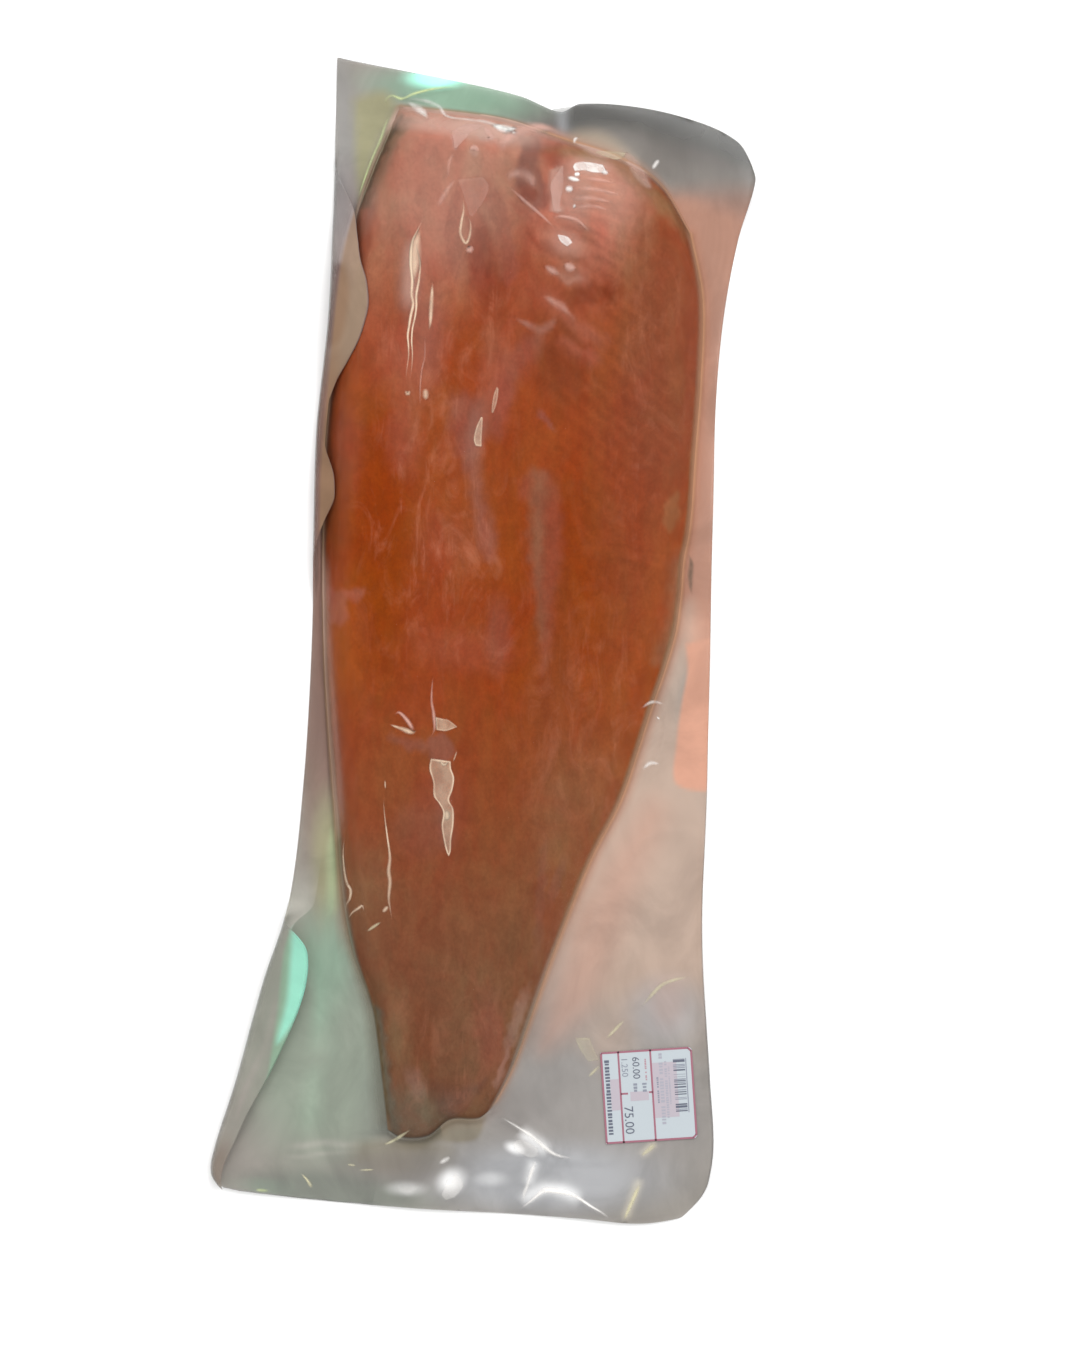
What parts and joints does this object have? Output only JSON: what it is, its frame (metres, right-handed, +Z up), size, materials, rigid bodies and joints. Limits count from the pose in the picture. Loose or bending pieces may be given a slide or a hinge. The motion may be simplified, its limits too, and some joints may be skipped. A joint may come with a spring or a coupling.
{
  "type": "vacuum-packed side of smoked salmon",
  "caption": "Side of smoked salmon lying flesh side up in a clear vacuum pouch with a curled margin, with a small square paper price label on the film near the tail.",
  "frame": {"origin": "centre of the bounding box at its underside, on the flat face that the pack lies on", "axes": "+Y towards the head end, +X towards the belly side, +Z up, away from the flat underside"},
  "size_m": [0.2982, 0.6404, 0.0236],
  "materials": {
    "flesh": "moist smoked salmon under tight clear film",
    "skin": "dark silvery fish skin, damp",
    "film": "clear glossy vacuum film, slightly hazy",
    "label_paper": "smooth bluish white thermal paper",
    "label_print": "thin flat print in dull red, grey and pale pink"
  },
  "bodies": {
    "root": {"vacuum_pouch": "flesh", "price_label": "label_paper"}
  },
  "joints": []
}
